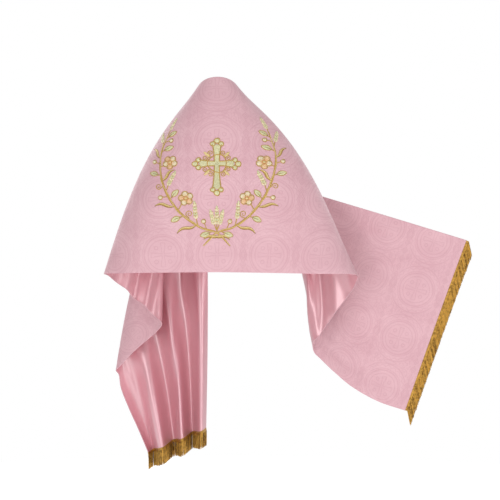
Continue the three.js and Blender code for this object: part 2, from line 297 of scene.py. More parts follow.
class Nodes:
    """The node tree of a new material or world."""

    def __init__(self, owner):
        self.owner = owner
        owner.use_nodes = True
        self.tree = owner.node_tree
        self.tree.nodes.clear()

    def add(self, kind, settings=None, sockets=None, output=0):
        """Adds a node, sets its settings, then the values or links of its sockets."""
        node = self.tree.nodes.new(kind)
        for key, value in (settings or {}).items():
            setattr(node, key, value)
        for key, value in (sockets or {}).items():
            if isinstance(value, Term):
                self.tree.links.new(value.socket, node.inputs[key])
            else:
                node.inputs[key].default_value = value
        return Term(self, node.outputs[output] if len(node.outputs) else None)

    def place(self, layer, scale):
        """Two terms for the place on one of the piece's own UV maps, times a scale."""
        point = self.add("ShaderNodeUVMap", {"uv_map": layer})
        return (self.add("ShaderNodeSeparateXYZ", None, {0: point}, k) * scale for k in (0, 1))

    def grain(self, point, scale, detail, roughness=0.5, dimensions="3D"):
        """Noise at a point, from -0.5 to 0.5."""
        sockets = {"Vector": point, "Scale": scale, "Detail": detail, "Roughness": roughness}
        return self.add("ShaderNodeTexNoise", {"noise_dimensions": dimensions}, sockets) - 0.5

    def noise(self, x, y, scale_x, scale_y, detail, roughness=0.5):
        """Flat noise whose grain is scale_x by scale_y millimetres."""
        point = self.add("ShaderNodeCombineXYZ", None, {0: x / scale_x, 1: y / scale_y})
        return self.grain(point, 1.0, detail, roughness, "2D")

    def tint(self, factor, low, high):
        """Colour between low and high by a factor."""
        settings = {"data_type": "RGBA", "clamp_factor": True}
        sockets = {0: factor, 6: (*low, 1), 7: (*high, 1)}
        return self.add("ShaderNodeMix", settings, sockets, 2)

    def bump(self, height, distance, strength):
        """Normal from a height field in units of the given distance in metres."""
        sockets = {"Strength": strength, "Distance": distance, "Height": height}
        return self.add("ShaderNodeBump", None, sockets)

    def finish(self, **sockets):
        """Principled surface with these sockets, as the material's output."""
        named = {key.replace("_", " "): value for key, value in sockets.items()}
        shader = self.add("ShaderNodeBsdfPrincipled", None, named)
        self.add("ShaderNodeOutputMaterial", None, {"Surface": shader})
        return self.owner


def band(away, half, soft):
    """1 where a distance is within half of 0, falling to 0 over soft beyond it."""
    return ((half + soft) - abs(away)).math("DIVIDE", soft, clamp=True)


def within(away, soft):
    """1 where a distance is below 0, falling to 0 over soft."""
    return (soft - away).math("DIVIDE", soft, clamp=True)


def wave(x, pitch):
    """Sine wave of one rise and fall to a pitch."""
    return (x * (math.tau / pitch)).math("SINE")


def ridges(x, pitch):
    """Round ridges, one to a pitch, with sharp grooves between them: the size of a sine."""
    return abs((x * (math.pi / pitch)).math("SINE"))


def repeat(x, pitch, centre):
    """Distance to the nearest of the places centre + any whole number of pitches."""
    return (((x - (centre - pitch / 2)) / pitch).math("FRACT") - 0.5) * pitch


# A medallion of the damask on the flat cloth, in millimetres: its middle, its rings as radius, half
# width and softness, its filled disc, its scalloped edge, the ring outside that, where the open
# ground starts, the cross's reach, and the place and size of the small rings in its corners
MEDALLION = (1150, 512)
RINGS = ((52, 1.5, 1.4), (41.5, 0.6, 1.2), (57.5, 0.7, 1.2))
FILLED_RADIUS = 51
SCALLOPS = 11
SCALLOP_RADIUS = 63
SCALLOP_DEPTH = 6
OUTER_RING = 74
OPEN_RADIUS = 76
CROSS_REACH = 33
CORNER_PLACE = 19
CORNER_RADIUS = 5

# Half width and half height of a chain's lozenges, of the great ones beside the medallions and of
# those between them, the half width of a chain, and the pitch of the small scrolls
LOZENGE = (9, 12)
GREAT_LOZENGE = (12, 25)
BETWEEN = (22, 9)
CHAIN_HALF = 10
SCROLL_PITCH = 11


def ring_lines(r, angle):
    """A medallion's rings, and its scalloped edge, a circle that swells with round ridges."""
    edge = SCALLOP_RADIUS + ridges(angle, math.pi / SCALLOPS) * SCALLOP_DEPTH
    lines = band(r - edge, 0.7, 1.6) * 0.8
    for radius, half, soft in RINGS:
        lines = lines.most(band(r - radius, half, soft))
    return lines


def cross_figure(ax, ay):
    """Lines and area of the cross in a medallion: arms that widen to their ends. The lines have a
    small ring in each corner between the arms."""
    far, near = ax.most(ay), ax.least(ay)
    arm = near - (2.2 + far * 0.13)
    tip = far - CROSS_REACH
    lines = (band(arm, 0.5, 0.9) * within(tip, 1.0)).most(band(tip, 0.5, 0.9) * within(arm, 1.0))
    dx, dy = ax - CORNER_PLACE, ay - CORNER_PLACE
    corner = (dx * dx + dy * dy).math("SQRT")
    return lines.most(band(corner - CORNER_RADIUS, 0.7, 1.0)), within(arm, 0.9) * within(tip, 0.9)


def lozenge(x, y, half):
    """1 on a lozenge's outline and less inside: the distances over its half width and height."""
    return x / half[0] + y / half[1]


def chain_figure(off, link_y, great_y):
    """Lines and area of a chain of small lozenges with a great one beside each medallion."""
    small, great = lozenge(off, link_y, LOZENGE), lozenge(off, great_y, GREAT_LOZENGE)
    links = band(small - 0.9, 0.07, 0.14).most(band(small - 0.4, 0.06, 0.14))
    rims = band(great - 1, 0.05, 0.08).most(band(great - 0.55, 0.04, 0.08))
    return (links * (1 - within(great - 1.15, 0.1))).most(rims), within(great - 0.95, 0.08)


def damask_pattern(x, y, pitch_x, pitch_y):
    """The damask's figure, ringed crosses on a lattice with chains of small lozenges between their
    columns, as terms: its drawn lines, filled areas, open ground, and the chains' ground."""
    cx, cy = repeat(x, pitch_x, MEDALLION[0]), repeat(y, pitch_y, MEDALLION[1])
    ax, ay = abs(cx), abs(cy)
    r = (cx * cx + cy * cy).math("SQRT")
    off = abs(pitch_x / 2 - ax)
    in_chain = within(off - CHAIN_HALF, 1.5)
    between = lozenge(ax, pitch_y / 2 - ay, BETWEEN) - 1
    cross_lines, cross = cross_figure(ax, ay)
    link_y = abs(repeat(y, pitch_y / 6, MEDALLION[1]))
    chain_lines, great = chain_figure(off, link_y, ay)
    lines = ring_lines(r, cy.math("ARCTAN2", cx))
    outer = band(r - OUTER_RING, 1.2, 1.6) * (1 - in_chain)
    for more in (outer, chain_lines, cross_lines, band(between, 0.06, 0.1)):
        lines = lines.most(more)
    fill = within(r - FILLED_RADIUS, 3.0) * 0.6 + cross * 0.4
    fill = fill.most(great * 0.8).most(within(between, 0.1) * 0.7)
    open_ground = (1 - within(r - OPEN_RADIUS, 3)) * (1 - in_chain) * (1 - within(between, 0.2))
    return lines, fill, open_ground, in_chain


# Spacing of the damask's and the satin's threads and of the stitches, in millimetres, and length
# of a turn of the cord's twist
WEAVE_PITCH = 0.9
SATIN_PITCH = 0.6
STITCH_PITCH = 0.9
TWIST_PITCH = 2.4 * MM


def damask_material(look):
    """Pink damask: a matt ground, glossier figures with drawn outlines, small scrolls in the open
    ground, a fine weave, and a cloudy sheen."""
    nodes = Nodes(bpy.data.materials.new("damask"))
    x, y = nodes.place("cloth", 1 / MM)
    sway = nodes.noise(x, y, 90, 90, 1.0) * 5
    pitches = (look.pitch_along / MM, look.pitch_across / MM)
    lines, fill, ground, chain = damask_pattern(x + sway, y - sway, *pitches)
    scroll_x = repeat(x + nodes.noise(x, y, 14, 14, 1.0) * 26, SCROLL_PITCH, 0)
    scroll_y = repeat(y + nodes.noise(y, x, 14, 14, 1.0) * 26, SCROLL_PITCH, 0)
    scroll = band(scroll_x, 0.9, 1.6).most(band(scroll_y, 0.9, 1.6) * 0.7) * ground
    cloud = nodes.noise(x, y, 120, 70, 2.0) + nodes.noise(x, y, 34, 26, 3.0) * 0.5
    grain = nodes.noise(x, y, 4.5, 1.6, 3.0, 0.7) + nodes.noise(x, y, 1.1, 3.6, 2.0, 0.7)
    tone = cloud * 0.8 + grain * 0.6 - fill * 0.08 - lines * 0.40 - scroll * 0.4 - chain * 0.14 + 0.58
    weave = wave(x, WEAVE_PITCH) * wave(y, WEAVE_PITCH)
    height = lines * -1 + fill * 0.3 + scroll * -0.6 + weave * 0.12 + grain * 0.3
    return nodes.finish(
        Base_Color=nodes.tint(tone, look.dark, look.light),
        Roughness=0.56 - fill * 0.04 + lines * 0.05,
        Normal=nodes.bump(height, 0.00030, 0.7),
        Specular_IOR_Level=0.35,
        Sheen_Weight=0.25,
        Sheen_Roughness=0.4,
        Sheen_Tint=(1.0, 0.86, 0.88, 1),
    )


def satin_material(look):
    """Pink lining satin: saturated, glossy, with faint streaks along its warp and fine threads."""
    nodes = Nodes(bpy.data.materials.new("satin_lining"))
    x, y = nodes.place("cloth", 1 / MM)
    streak = nodes.noise(x, y, 160, 3.0, 2.0) + nodes.noise(x, y, 50, 1.0, 2.0) * 0.5
    cloud = nodes.noise(x, y, 110, 90, 1.0)
    tone = cloud * 0.3 + streak * 0.22 + 0.5
    thread = wave(y, SATIN_PITCH)
    return nodes.finish(
        Base_Color=nodes.tint(tone, look.satin_dark, look.satin_light),
        Metallic=0.2,
        Roughness=0.38 + streak * 0.08,
        Normal=nodes.bump(streak * 0.6 + thread * 0.15, 0.0002, 0.6),
        Specular_IOR_Level=1.0,
        Coat_Weight=1.0,
        Coat_Roughness=0.36,
        Coat_IOR=2.3,
        Sheen_Weight=0.1,
        Sheen_Roughness=0.35,
    )


def bullion_material(look):
    """Old-gold metal cord: the twist runs round it as slanted grooves, with painted shade where they are
    deep.
    """
    nodes = Nodes(bpy.data.materials.new("gold_bullion"))
    around, along = nodes.place("cord", 1)
    twist = ridges(along / TWIST_PITCH + around, 1)
    spot = nodes.add("ShaderNodeTexCoord", None, None, 3)
    mottle = nodes.grain(spot, 260.0, 2.0)
    patch = nodes.grain(spot, 95.0, 1.0)
    # shade holds each cord's random tone, with painted shade on the row behind
    shade = nodes.add("ShaderNodeAttribute", {"attribute_name": "shade"}, None, 2)
    # Painted shade: the twist's grooves take the dark gold, the ridges the light gold; mottle and patch
    # are random tone
    tone = twist * 0.6 + mottle * 1.3 + patch * 1.6 + shade * 0.9 + 0.15
    return nodes.finish(
        Base_Color=nodes.tint(tone, look.gold_dark, look.gold_light),
        Metallic=0.55,
        Roughness=0.4 + mottle * 0.2,
        Normal=nodes.bump(twist, 0.0004, 0.9),
    )


def thread_material():
    """Embroidery silk and metal thread: each band has its own colour, and the satin stitches lie
    side by side across it as fine ridges, with painted shade in the grooves between them."""
    nodes = Nodes(bpy.data.materials.new("gold_embroidery"))
    colour = nodes.add("ShaderNodeAttribute", {"attribute_name": "thread"})
    metal = nodes.add("ShaderNodeAttribute", {"attribute_name": "metal"}, None, 2)
    along, across = nodes.place("stitch", 1 / MM)
    lay = nodes.noise(along, across, 1.1, 9.0, 1.0)
    ridge = ridges(along + across * 0.35, STITCH_PITCH)
    # Painted shade: the thread is darker in the grooves between the stitch ridges; the lay noise is
    # random tone
    dark = nodes.tint(ridge * 0.45 + lay * 0.9 + 0.42, (0.52, 0.5, 0.46), (1, 1, 1))
    settings = {"data_type": "RGBA", "blend_type": "MULTIPLY", "clamp_factor": True}
    mixed = nodes.add("ShaderNodeMix", settings, {0: 1.0, 6: colour, 7: dark}, 2)
    return nodes.finish(
        Base_Color=mixed,
        Metallic=metal,
        Roughness=0.42,
        Normal=nodes.bump(ridge + lay, 0.0003, 0.9),
    )


def make_piece(name, points, faces, material, layers=None, attributes=None):
    """New mesh object at the origin from points and faces, with UV maps and point attributes."""
    mesh = bpy.data.meshes.new(name)
    mesh.from_pydata(points.tolist(), [], faces)
    corners = np.empty(len(mesh.loops), np.int32)
    mesh.loops.foreach_get("vertex_index", corners)
    for layer, places in (layers or {}).items():
        uv = mesh.uv_layers.new(name=layer)
        uv.data.foreach_set("uv", places[corners].astype(np.float32).ravel())
    for key, (kind, values) in (attributes or {}).items():
        attribute = mesh.attributes.new(key, kind, "POINT")
        field = "color" if kind == "FLOAT_COLOR" else "value"
        attribute.data.foreach_set(field, values.astype(np.float32).ravel())
    mesh.polygons.foreach_set("use_smooth", np.ones(len(mesh.polygons), bool))
    mesh.materials.append(material)
    mesh.update()
    piece = bpy.data.objects.new(name, mesh)
    bpy.context.scene.collection.objects.link(piece)
    return piece


# The round of a shell's rim: shares of its half thickness up from its middle, and out
RIM = ((0.7, 0.7), (0.0, 1.0), (-0.7, 0.7))


def border(grid):
    """A grid's border values, once round, starting along its first column."""
    return np.concatenate([grid[:-1, 0], grid[-1, :-1], grid[:0:-1, -1], grid[0, :0:-1]])


def shell_faces(grid, loops):
    """Quads of a shell whose outer side is a grid of point indices: that side, the inner side with
    the next indices, which looks the other way, and a rim that joins them over loops of points."""
    corners = (grid[:-1, :-1], grid[:-1, 1:], grid[1:, 1:], grid[1:, :-1])
    a, b, c, d = (corner.ravel() for corner in corners)
    quads = [np.stack([a, b, c, d], 1), np.stack([a, d, c, b], 1) + grid.size]
    ring = border(grid)
    chain = [2 * grid.size + k * len(ring) + np.arange(len(ring)) for k in range(loops)]
    chain = [ring, *chain, ring + grid.size]
    for one, two in zip(chain[:-1], chain[1:]):
        quads.append(np.stack([one, np.roll(one, -1), np.roll(two, -1), two], 1))
    return np.concatenate(quads)


def cloth_shell(name, drape, sizes, outer, inner, inset, lip, material):
    """Closed thin shell between two heights over the draped surface. Its rim bulges in a small
    round from the outer height to the inner one, or to the lip where one is given. From the lip it
    turns in under the edge by the inset, and up to the inner height."""
    s, t = drape.stations(sizes.rows), np.linspace(0, 1, sizes.columns)
    step = (s[1] - s[0]) * END_ROW
    s, t = np.sort([*s, step, s[-1] - step]), np.sort([*t, EDGE_COLUMN, 1 - EDGE_COLUMN])
    ss, tt = np.meshgrid(s, t, indexing="ij")
    square, across, out = drape.ways(ss, tt)
    u, v = drape.flat(ss, tt)
    surface = drape.base(ss, tt) + out * crease_height(u, v)[..., None]
    # Way out past the cloth's edge at each border point
    away = np.zeros_like(surface)
    away[0] -= square[0]
    away[-1] += square[-1]
    away[:, 0] -= across[:, 0]
    away[:, -1] += across[:, -1]
    surface, out, away = (part.reshape(-1, 3) for part in (surface, out, away))
    grid = np.arange(ss.size).reshape(ss.shape)
    ring = border(grid)
    # Height over the surface and reach past the edge of each loop of the rim
    low = inner if lip is None else lip
    middle, half = (outer + low) / 2, (outer - low) / 2
    steps = [(middle + up * half, reach * abs(half)) for up, reach in RIM]
    if lip is not None:
        steps += [(lip, 0.0), (lip, -inset)]
    loops = [surface[ring] + out[ring] * lift + away[ring] * reach for lift, reach in steps]
    inner_side = surface + out * inner
    inner_side[ring] -= away[ring] * inset
    points = np.concatenate([surface + out * outer, inner_side, *loops])
    faces = shell_faces(grid, len(loops))
    if outer < inner:
        faces = faces[:, ::-1]
    places = np.stack([u.ravel() + sizes.length / 2, v.ravel()], 1)
    places = np.concatenate([places, places] + [places[ring]] * len(loops))
    return make_piece(name, points, faces.tolist(), material, {"cloth": places})


def tube_faces(rings, capped=True):
    """Faces of tubes: quads between neighbouring rings of point indices, which lie along the last
    axis and follow one another along the axis before it, and a cap on each end."""
    ahead = np.roll(rings, -1, axis=-1)
    corners = (rings[..., :-1, :], ahead[..., :-1, :], ahead[..., 1:, :], rings[..., 1:, :])
    faces = np.stack(corners, -1).reshape(-1, 4).tolist()
    if capped:
        caps = np.stack([rings[..., 0, ::-1], rings[..., -1, :]])
        faces += caps.reshape(-1, rings.shape[-1]).tolist()
    return faces


def direction(angle):
    """Unit ways on the flat cloth at given angles."""
    return np.stack([np.cos(angle), np.sin(angle)], -1)


def square_to(ways):
    """Ways on the flat cloth turned by a quarter."""
    return np.stack([-ways[..., 1], ways[..., 0]], -1)


# Thread colours, how metallic the gold, the pale, the leaves' and the coloured threads are, and
# how deep the underside of a stitch lies in the cloth, in millimetres
GOLD = (0.68, 0.44, 0.12)
DEEP_GOLD = (0.42, 0.24, 0.06)
BRIGHT_GOLD = (0.92, 0.72, 0.34)
PALE_GREEN = (0.82, 0.79, 0.47)
PEACH = (0.98, 0.64, 0.36)
CREAM = (0.98, 0.85, 0.58)
DEEP_PEACH = (0.80, 0.34, 0.14)
METAL = 0.35
PALE = 0.15
LEAF = 0.1
SILK = 0.05
DEPTH = 0.2


class Stitching:
    """Raised bands of stitches, gathered before they are laid on the cloth together."""

    RING = 8

    def __init__(self, seed):
        self.random = np.random.default_rng(seed)
        self.places, self.lifts, self.stitches, self.colours, self.metals = [], [], [], [], []
        self.faces = []
        self.count = 0

    def band(self, path, widths, height, colour, metal=METAL, dip=0.0, closed=False):
        """Band along a line on the flat cloth, as wide as given at every point or in all. It rises
        as half an ellipse, less where it is narrow, with a groove of depth dip down its middle."""
        path = np.asarray(path, float)
        widths = np.broadcast_to(np.asarray(widths, float), len(path))
        way = np.gradient(path, axis=0)
        if closed:
            way = np.roll(path, -1, axis=0) - np.roll(path, 1, axis=0)
        side = square_to(unit(way))
        turn = np.arange(self.RING) * math.tau / self.RING
        across = np.outer(widths / 2, np.cos(turn))
        rise = np.maximum(np.sin(turn), 0) ** 0.8 * (1 - dip * np.exp(-((np.cos(turn) / 0.3) ** 2)))
        lift = np.outer(np.sqrt(widths / widths.max()) * height, rise)
        # Each underside lies a hair deeper than the last, so that neighbours share no edge
        lift[:, np.sin(turn) < -1e-6] = -DEPTH * (1 + len(self.places) % 50 / 100)
        places = path[:, None, :] + side[:, None, :] * across[..., None]
        stitch = np.stack(np.broadcast_arrays(lengths(path)[:, None], across), -1)
        grid = self.count + np.arange(across.size).reshape(across.shape)
        if closed:
            grid = np.vstack([grid, grid[:1]])
        self.faces += tube_faces(grid, not closed)
        shade = np.clip(np.array(colour) * (1 + self.random.uniform(-0.06, 0.06)), 0, 1)
        self.places.append(places.reshape(-1, 2))
        self.lifts.append(lift.ravel())
        self.stitches.append(stitch.reshape(-1, 2))
        self.colours.append(np.tile([*shade, 1.0], (across.size, 1)))
        self.metals.append(np.full(across.size, metal))
        self.count += across.size

    def lay(self, name, drape, face_lift, material):
        """Lays all the bands on the cloth's face as one piece."""
        places = np.concatenate(self.places) * MM
        lifts = np.concatenate(self.lifts) * MM + face_lift
        points = drape.on_flat(places[:, 0], places[:, 1], lifts)
        layers = {"stitch": np.concatenate(self.stitches) * MM}
        attributes = {
            "thread": ("FLOAT_COLOR", np.concatenate(self.colours)),
            "metal": ("FLOAT", np.concatenate(self.metals)),
        }
        faces = [face[::-1] for face in self.faces]
        return make_piece(name, points, faces, material, layers, attributes)


def curve_through(points, step):
    """Smooth line through points (Catmull-Rom), with a point about every step millimetres."""
    p = np.asarray(points, float)
    p = np.vstack([2 * p[0] - p[1], p, 2 * p[-1] - p[-2]])
    pieces = []
    for a, b, c, d in zip(p[:-3], p[1:-2], p[2:-1], p[3:]):
        n = max(2, int(np.linalg.norm(c - b) / step))
        f = (np.arange(n) / n)[:, None]
        bend, twist = 2 * a - 5 * b + 4 * c - d, 3 * b - a - 3 * c + d
        pieces.append(0.5 * (2 * b + (c - a) * f + bend * f**2 + twist * f**3))
    return np.vstack([*pieces, p[-2][None]])


def bowed(start, angle, length, bend, count):
    """Line from a start that leaves at an angle and bows to one side by bend times its length."""
    f = np.linspace(0, 1, count)
    way = direction(angle)
    return start + np.outer(f * length, way) + np.outer(bend * length * f * f, square_to(way))


def egg_loop(centre, angle, long, short, count):
    """Closed egg-shaped line round a centre, wider towards the end that the angle points to."""
    a = np.arange(count) * math.tau / count
    way = direction(angle)
    across = short * np.sin(a) * (1 + 0.25 * np.cos(a))
    return centre + np.outer(long * np.cos(a), way) + np.outer(across, square_to(way))


def angle_at(path, k):
    """Angle at which a line comes to its point k."""
    x, y = path[k] - path[k - 1]
    return math.atan2(y, x)


# One branch of the wreath on the flat cloth: its stem's line, and what grows on it as kind, share
# of the way along, turn towards the inside in degrees, length and bow
STEM = ((38, 488), (0, 452), (-46, 436), (-96, 398), (-130, 346), (-148, 286), (-151, 222), (-136, 160))
SPRIGS = (
    ("sabre", 0.09, -42, 46, -0.22),
    ("leaf", 0.15, -52, 34, 0.12),
    ("berry", 0.19, 62, 24, -0.1),
    ("ear", 0.25, 44, 60, 0.14),
    ("sabre", 0.27, -40, 56, -0.26),
    ("tendril", 0.33, 62, 17, 0.0),
    ("leaf", 0.365, -54, 34, -0.1),
    ("blossom", 0.42, 66, 40, 0.1),
    ("sabre", 0.455, -38, 52, -0.26),
    ("leaf", 0.51, 58, 32, 0.1),
    ("berry", 0.535, -60, 22, -0.12),
    ("ear", 0.57, 38, 54, 0.14),
    ("tendril", 0.61, -62, 15, 0.0),
    ("sabre", 0.65, 46, 44, 0.28),
    ("leaf", 0.69, -48, 32, -0.14),
    ("blossom", 0.755, 80, 30, -0.1),
    ("berry", 0.775, -60, 20, -0.1),
    ("sabre", 0.82, -32, 42, -0.26),
    ("leaf", 0.865, 48, 34, 0.14),
    ("ear", 0.9, -26, 44, -0.1),
    ("berry", 0.935, 60, 20, 0.1),
    ("leaf", 0.97, 34, 32, 0.1),
    ("ear", 1.0, 2, 46, 0.06),
)
BLOSSOM_RADIUS = 19.0
SPRAY_PLACE = (0.0, 446.0)


def leaf_widths(count, width, power=0.8):
    """Width along a leaf: a sine bow from a fine root to a fine tip."""
    return np.maximum(np.sin(np.linspace(0.03, 0.985, count) * math.pi) ** power * width, 0.5)


def sew_disc(work, centre, radius, height, colour, metal=METAL):
    """Round patch of level stitches, each as long as the circle is wide there."""
    f = np.linspace(-0.98, 0.98, 9)
    path = centre + np.outer(f * radius, (1, 0))
    work.band(path, 2 * radius * np.sqrt(1 - f * f), height, colour, metal)


def sew_ring(work, centre, radius, count, width, height):
    """Gold outline round a centre, a little wider on one side."""
    work.band(egg_loop(centre, 0, radius, radius, count), width, height, GOLD, closed=True)


def sew_sabre(work, start, angle, length, bend):
    """Blade leaf that swings first to one side and then to the other, in bright gold over gold,
    with a deep gold edge."""
    f = np.linspace(0, 1, 20)
    side = square_to(direction(angle)) * np.sign(bend or 1)
    path = bowed(start, angle, length, bend, 20) + np.outer(np.sin(f * math.tau) * 0.07 * length, side)
    widths = leaf_widths(20, 8.6, 0.7)
    work.band(path, widths, 1.2, GOLD)
    work.band(path - side * widths[:, None] * 0.16, widths * 0.5, 1.7, BRIGHT_GOLD)
    work.band(path + side * widths[:, None] * 0.46, 1.7, 1.2, DEEP_GOLD)


def sew_leaf(work, start, angle, length, bend):
    """Pale leaf in two halves, with a gold outline and a short stalk."""
    stalk = bowed(start, angle, length * 0.3, bend, 5)
    work.band(stalk, 3.0, 1.0, GOLD)
    path = bowed(stalk[-1], angle + bend, length * 0.8, bend, 16)
    widths = leaf_widths(16, length * 0.44)
    work.band(path, widths, 1.4, PALE_GREEN, LEAF, dip=0.6)
    edge = square_to(direction(angle + bend)) * widths[:, None] / 2
    for side in (1, -1):
        work.band(path + edge * side, 2.0, 1.2, GOLD)
    work.band(path[1:11], np.linspace(2.0, 1.0, 10), 1.5, DEEP_GOLD)


def sew_ear(work, start, angle, length, bend):
    """Ear of wheat: a thin stalk, paired grains that lean out from it, and one at the tip."""
    path = bowed(start, angle, length, bend, 15)
    work.band(path, np.linspace(3.4, 1.8, 15), 1.0, GOLD)
    for k in range(5, 15, 2):
        for side in (1, -1):
            grain = bowed(path[k], angle_at(path, k) + side * 0.66, 13.5 - 0.35 * k, -0.2 * side, 9)
            work.band(grain, leaf_widths(9, 6.4, 0.6), 1.5, CREAM if k % 4 == 1 else PALE_GREEN, PALE)
            work.band(grain[4:], leaf_widths(5, 2.4, 0.5), 2.0, BRIGHT_GOLD)
    tip = bowed(path[-1], angle + bend, 12, 0.0, 8)
    work.band(tip, leaf_widths(8, 6.0, 0.6), 1.5, PALE_GREEN, PALE)


def sew_berry(work, start, angle, length, bend):
    """Round berry on a stalk, with a gold outline round it."""
    stalk = bowed(start, angle, length, bend, 8)
    work.band(stalk, 2.6, 1.0, GOLD)
    sew_disc(work, stalk[-1], 5.2, 1.8, CREAM, PALE)
    sew_ring(work, stalk[-1], 5.8, 20, 2.2, 1.2)


def sew_tendril(work, start, angle, length, _bend):
    """Tendril that leaves the stem and winds in on itself once and a half."""
    turn = np.linspace(0, 3 * math.pi, 34)
    reach = length * 0.62 * (1 - turn / (3.6 * math.pi))
    centre = start + length * direction(angle)
    spiral = centre - reach[:, None] * direction(angle + turn)
    path = curve_through(np.vstack([[start], spiral[::3]]), 2.0)
    work.band(path, np.linspace(3.2, 1.8, len(path)), 1.0, GOLD)


def sew_blossom(work, start, angle, length, bend):
    """Simple open blossom on a stalk: five petals edged in gold, each with three darker stitches
    from its root, round a bright heart."""
    stalk = bowed(start, angle, length, bend, 8)
    work.band(stalk, 3.2, 1.0, GOLD)
    centre = stalk[-1]
    for k in range(5):
        way = angle + 0.6 + k * math.tau / 5
        arm = direction(way)
        petal = centre + np.outer(np.linspace(3, BLOSSOM_RADIUS, 12), arm)
        widths = 15.5 * np.sin(np.linspace(0.16, 0.93, 12) * math.pi) ** 0.7
        work.band(petal, widths, 1.4, PEACH if k % 2 else CREAM, SILK)
        loop = egg_loop(centre + arm * BLOSSOM_RADIUS * 0.6, way, BLOSSOM_RADIUS * 0.45, 8.0, 26)
        work.band(loop, 2.2, 1.4, GOLD, closed=True)
        for lean in (-0.28, 0.0, 0.28):
            stitch = bowed(centre, way + lean, 14 - 6 * abs(lean), 0.0, 6)[1:]
            work.band(stitch, np.linspace(2.0, 1.2, 5), 1.8, DEEP_PEACH, SILK)
    sew_disc(work, centre, 4.6, 2.2, BRIGHT_GOLD)


SEWERS = {
    "sabre": sew_sabre,
    "leaf": sew_leaf,
    "ear": sew_ear,
    "berry": sew_berry,
    "tendril": sew_tendril,
    "blossom": sew_blossom,
}


def sew_branch(work, flip, kinds):
    """One branch of the wreath, left or right by the sign of flip, with the kinds asked for."""
    path = curve_through(np.array(STEM) * (flip, 1), 3.0)
    run = lengths(path)
    if "stem" in kinds:
        widths = 3.2 + 3.2 * np.sin(np.clip(run / run[-1] * 1.1, 0, 1) * math.pi) ** 0.6
        side = square_to(unit(np.gradient(path, axis=0)))
        twine = np.sin(run / 16) * widths * 0.5
        work.band(path, widths, 1.3, GOLD)
        work.band(path + side * twine[:, None], 2.0, 1.7, BRIGHT_GOLD)
    for kind, share, turn, length, bend in SPRIGS:
        if kind not in kinds:
            continue
        k = min(np.searchsorted(run, share * run[-1]), len(path) - 1)
        angle = angle_at(path, k) + math.radians(turn) * flip
        SEWERS[kind](work, path[k], angle, length, bend * flip)


def sew_greenery(work):
    """Both branches without their blossoms, and a spray of three ears where they meet."""
    for flip in (1, -1):
        sew_branch(work, flip, ("stem", "sabre", "leaf", "ear", "berry", "tendril"))
        sew_ear(work, np.array(SPRAY_PLACE), -math.pi / 2 - 0.42 * flip, 50, 0.12 * flip)
    sew_ear(work, np.array(SPRAY_PLACE) + (0, 4), -math.pi / 2, 62, 0.0)


def sew_blossoms(work):
    """The blossoms of both branches."""
    for flip in (1, -1):
        sew_branch(work, flip, ("blossom",))


# Middle of the cross on the flat cloth, and the way and length of each of its arms
CROSS_PLACE = (0.0, 258.0)
CROSS_ARMS = ((-90, 54), (0, 46), (90, 72), (180, 46))


def sew_cross(work):
    """Ornamental cross: four pale arms that widen outwards to three round lobes, outlined in gold,
    with a ring round the crossing, and a curled shoot and a bud in each corner."""
    centre = np.array(CROSS_PLACE)
    f = np.linspace(0, 1, 16)
    half = 6.6 + 5.4 * f**2.2
    for degrees, length in CROSS_ARMS:
        way = direction(math.radians(degrees))
        side = square_to(way)
        work.band(centre + np.outer(f * length, way), half * 2, 1.5, PALE_GREEN, PALE, dip=0.35)
        for sign in (1, -1):
            edge = centre + np.outer(6.0 + f * (length - 6.0), way) + np.outer(half * sign, side)
            work.band(edge, 3.0, 2.0, GOLD)
            sew_lobe(work, centre + way * (length + 2) + side * sign * 11.0, 6.2)
        sew_lobe(work, centre + way * (length + 11), 7.4)
    sew_ring(work, centre, 25, 60, 3.4, 1.5)
    for degrees in (45, 135, 225, 315):
        angle = math.radians(degrees)
        start = centre + 26 * direction(angle)
        work.band(bowed(start, angle, 22, 0.0, 12), leaf_widths(12, 8.5), 1.5, BRIGHT_GOLD)
        for lean in (-1, 1):
            sew_tendril(work, start, angle + 0.95 * lean, 12, 0.0)


def sew_lobe(work, centre, radius):
    """Round lobe of pale stitches with a gold outline."""
    sew_disc(work, centre, radius, 1.7, PALE_GREEN, PALE)
    sew_ring(work, centre, radius, 22, 2.8, 1.9)


# The fringe's heading: points along it, how much of the end's spread of ways it keeps, ribs over
# its width and points over them, gap to the cloth's edge, half thickness, height of a rib, twists
# round it and tone, and its middle over the cloth's middle surface
END_POINTS = 241
SPREAD = 0.2
RIBS = 5
RIB_POINTS = 21
HEADING_GAP = 0.5 * MM
HEADING_HALF = 1.1 * MM
RIB_HEIGHT = 0.5 * MM
HEADING_TWISTS = 9
HEADING_SHADE = 0.15
FRINGE_MIDDLE = 0.25 * MM

# The fringe's cords: how far each row lies off the middle, how deep the roots lie in the heading,
# the most that a cord bows, leans and differs in length, its sides, and the radii of its rings
ROW_OFFSET = 0.7 * MM
ROOT_DEPTH = 1.0 * MM
CORD_BOW = 0.8 * MM
CORD_LEAN = 0.02
CORD_UNEVEN = (-0.035, 0.02)
CORD_SIDES = 6
CORD_RADII = (1.0, 1.02, 0.98, 1.03, 0.99, 1.03, 0.94, 0.45)


def end_line(drape, left):
    """One end of the cloth, from its top edge to its hem: points, ways on past the end, and ways
    out of the face. The ways on keep little of their spread, so that the cords don't part."""
    t = np.linspace(0, 1, END_POINTS)
    s = np.full_like(t, 0.0 if left else drape.knots[-1])
    square, _, out = drape.ways(s, t)
    points = drape.base(s, t) + out * crease_height(*drape.flat(s, t))[:, None]
    on = -square if left else square
    return points, unit(SPREAD * on + (1 - SPREAD) * on.mean(axis=0)), out


